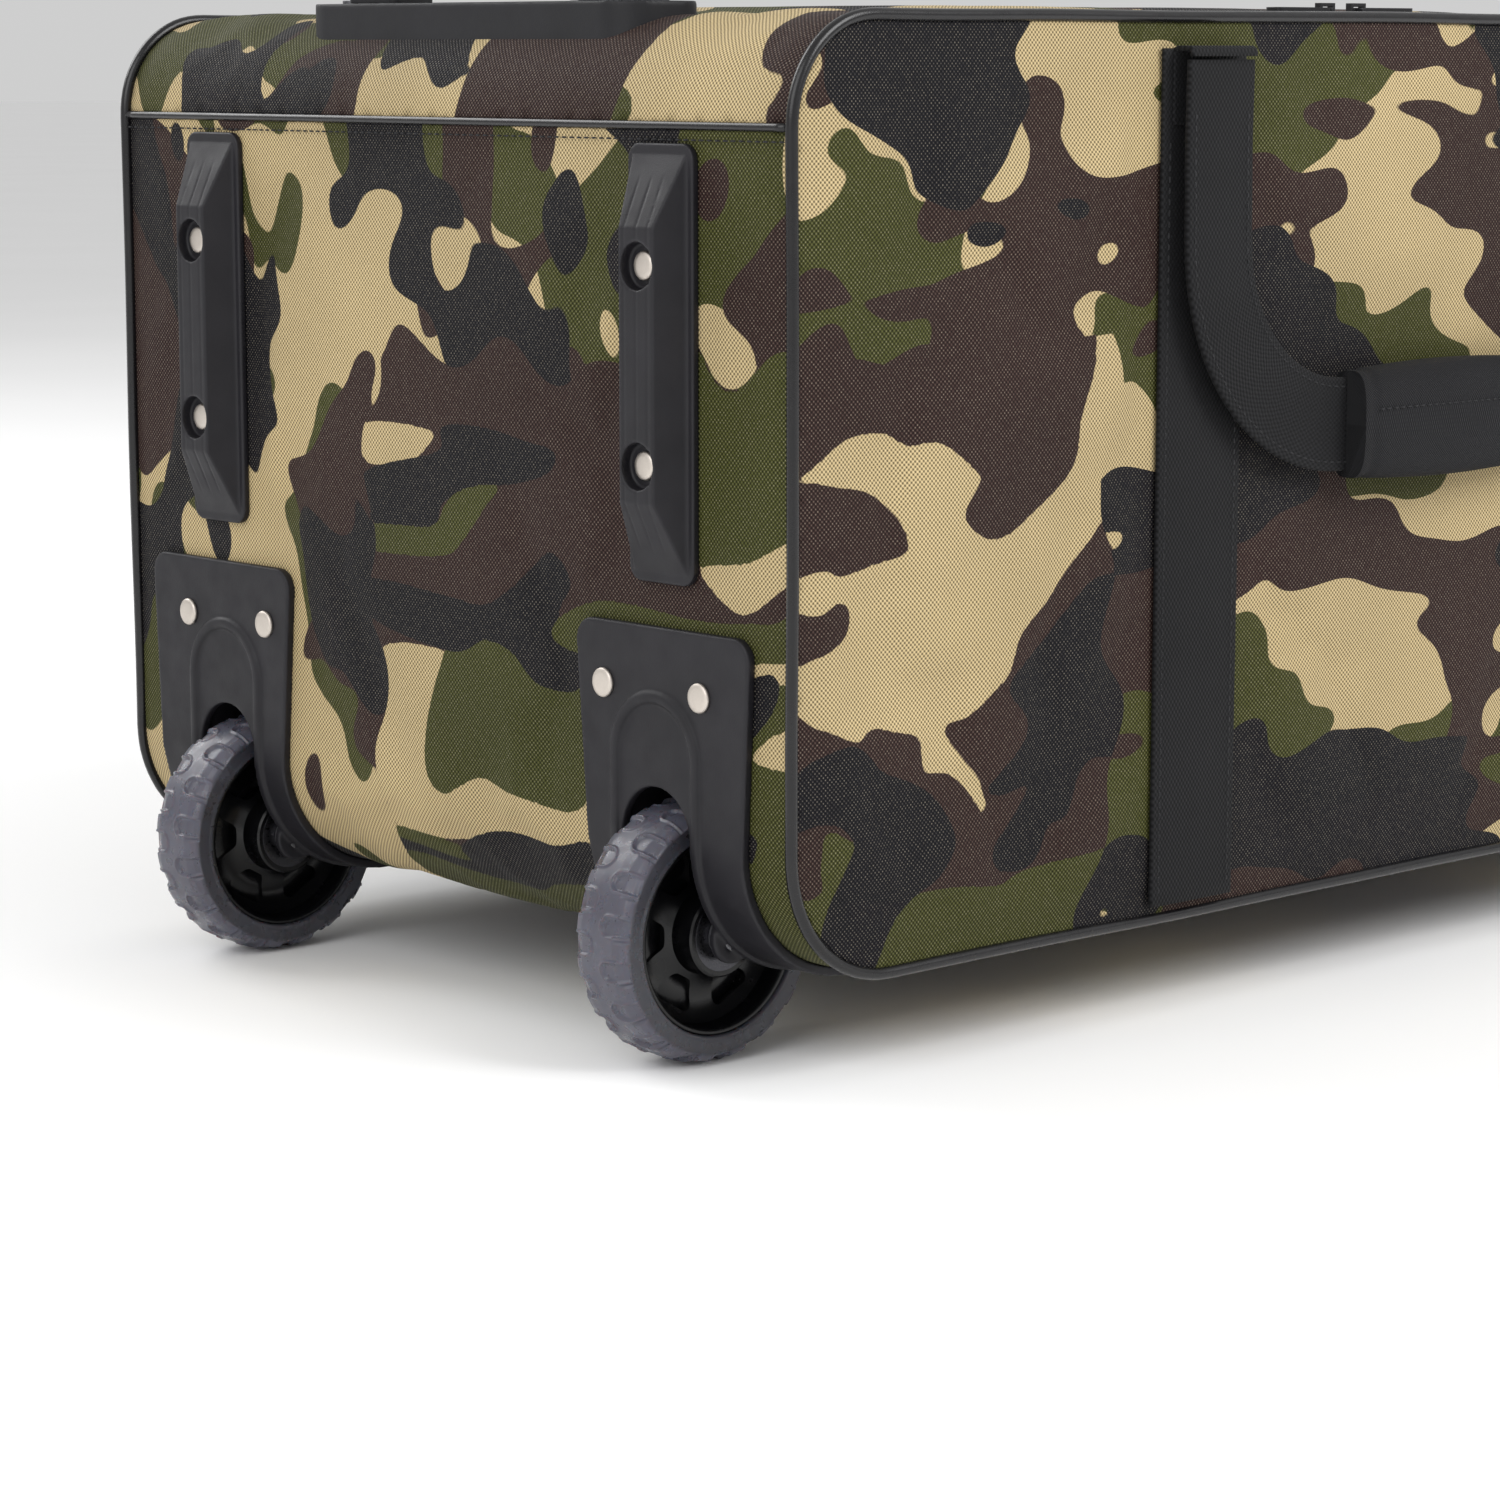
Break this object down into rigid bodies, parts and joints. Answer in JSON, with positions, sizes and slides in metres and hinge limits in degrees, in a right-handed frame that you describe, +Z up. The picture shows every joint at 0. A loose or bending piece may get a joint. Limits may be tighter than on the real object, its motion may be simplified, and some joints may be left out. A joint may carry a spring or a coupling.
{
  "type": "rolling duffel bag",
  "caption": "Soft-sided wheeled duffel bag with a zipped lid, a telescoping pull handle, carry handles, moulded wheel housings and skid rails.",
  "frame": {"origin": "on the floor, under the middle of the whole object's box", "axes": "+Z up, +X along the bag from the wheel and handle end to the far end, -Y towards the plain side panel"},
  "size_m": [0.614, 0.3678, 0.361],
  "materials": {
    "camo_fabric": "printed oxford weave, matte",
    "piping": "glossy black vinyl",
    "webbing": "black woven webbing",
    "lining": "plain black lining",
    "board": "black plastic sheet",
    "zip_tape": "black zip tape with coil teeth",
    "zip_metal": "black enamelled zip metal",
    "housing": "matte black moulded plastic, light sheen",
    "rail": "matte black moulded plastic",
    "rivet": "pale nickel",
    "axle": "zinc plated",
    "tyre": "translucent smoky blue-grey polyurethane",
    "hub": "black moulded plastic",
    "bearing": "ground steel",
    "foot": "matte black moulded plastic",
    "screw": "dark zinc",
    "bezel": "matte black moulded plastic",
    "tube": "anodised",
    "collar": "black acetal",
    "grip": "matte black moulded plastic",
    "button": "dark grey moulded plastic",
    "wrap": "padded black fabric"
  },
  "bodies": {
    "bag": {"side_panel_front": "camo_fabric", "side_panel_back": "camo_fabric", "gusset": "camo_fabric", "top_panel": "camo_fabric", "piping_front": "piping", "piping_back": "piping", "base_board": "board", "end_stiffener": "board", "handle_cover": "lining", "zip_frame_half": "zip_tape", "wheel_housing_front": "housing", "wheel_housing_back": "housing", "housing_rivets": "rivet", "axle_front": "axle", "axle_back": "axle", "axle_washers": "axle", "skid_rail_front": "rail", "skid_rail_back": "rail", "rail_rivets": "rivet", "foot_front": "foot", "foot_back": "foot", "foot_screws": "screw", "handle_bezel": "bezel", "bezel_screws": "screw", "tube_shoes": "bezel", "outer_tubes": "tube", "webbing_front": "webbing", "webbing_back": "webbing", "grab_strap": "webbing", "pocket_panel": "camo_fabric", "pocket_zip": "zip_tape"},
    "wheel_front": {"tyre_front": "tyre", "hub_front": "hub", "bearings_front": "bearing", "bearing_spacer_front": "axle"},
    "wheel_back": {"tyre_back": "tyre", "hub_back": "hub", "bearings_back": "bearing", "bearing_spacer_back": "axle"},
    "lid": {"lid_panel": "camo_fabric", "zip_lid_half": "zip_tape"},
    "slider_left": {"zip_slider_left": "zip_metal"},
    "slider_right": {"zip_slider_right": "zip_metal"},
    "pull_left": {"zip_pull_left": "zip_metal"},
    "pull_right": {"zip_pull_right": "zip_metal"},
    "stage_1": {"stage_1_tubes": "tube", "stage_1_collars": "collar"},
    "stage_2": {"stage_2_tubes": "tube", "stage_2_collars": "collar"},
    "stage_3": {"stage_3_tubes": "tube", "grip": "grip"},
    "button": {"release_button": "button", "push_rods": "axle"},
    "handle_front": {"carry_handle_front": "webbing", "handle_wrap": "wrap"},
    "handle_back": {"carry_handle_back": "webbing"},
    "pocket_zip_slider": {"pocket_slider": "zip_metal"},
    "pocket_zip_pull": {"pocket_pull": "zip_metal"}
  },
  "joints": [
    {"name": "wheel_front_spin", "type": "hinge", "parent": "bag", "child": "wheel_front", "pos_m": [-0.267, -0.109, 0.04], "axis": [0, 1, 0], "continuous": true},
    {"name": "wheel_back_spin", "type": "hinge", "parent": "bag", "child": "wheel_back", "pos_m": [-0.267, 0.109, 0.04], "axis": [0, 1, 0], "continuous": true},
    {"name": "lid_open", "type": "hinge", "parent": "bag", "child": "lid", "pos_m": [0, 0.12, 0.311], "axis": [-1, 0, 0], "range_deg": [0, 95]},
    {"name": "slider_left_run", "type": "slide", "parent": "lid", "child": "slider_left", "axis": [-1, 0, 0], "range_m": [0, 0.16]},
    {"name": "slider_right_run", "type": "slide", "parent": "lid", "child": "slider_right", "axis": [1, 0, 0], "range_m": [0, 0.16]},
    {"name": "pull_left_swing", "type": "hinge", "parent": "slider_left", "child": "pull_left", "pos_m": [0.01, -0.114, 0.3136], "axis": [0, 1, 0], "range_deg": [0, 140]},
    {"name": "pull_right_swing", "type": "hinge", "parent": "slider_right", "child": "pull_right", "pos_m": [0.026, -0.114, 0.3136], "axis": [0, -1, 0], "range_deg": [0, 140]},
    {"name": "handle_stage_1", "type": "slide", "parent": "bag", "child": "stage_1", "axis": [0, 0, 1], "range_m": [0, 0.2]},
    {"name": "handle_stage_2", "type": "slide", "parent": "stage_1", "child": "stage_2", "axis": [0, 0, 1], "range_m": [0, 0.2]},
    {"name": "handle_stage_3", "type": "slide", "parent": "stage_2", "child": "stage_3", "axis": [0, 0, 1], "range_m": [0, 0.2]},
    {"name": "button_press", "type": "slide", "parent": "stage_3", "child": "button", "axis": [0, 0, -1], "range_m": [0, 0.0035], "stiffness_N_per_m": 600, "springref_m": -0.004},
    {"name": "carry_front_swing", "type": "hinge", "parent": "bag", "child": "handle_front", "pos_m": [0, -0.174, 0.3], "axis": [-1, 0, 0], "range_deg": [0, 175]},
    {"name": "carry_back_swing", "type": "hinge", "parent": "bag", "child": "handle_back", "pos_m": [0, 0.174, 0.3], "axis": [1, 0, 0], "range_deg": [0, 175]},
    {"name": "pocket_slider_run", "type": "slide", "parent": "bag", "child": "pocket_zip_slider", "axis": [1, 0, 0], "range_m": [0, 0.24]},
    {"name": "pocket_pull_swing", "type": "hinge", "parent": "pocket_zip_slider", "child": "pocket_zip_pull", "pos_m": [-0.12, 0.1816, 0.138], "axis": [1, 0, 0], "range_deg": [0, 140]}
  ]
}
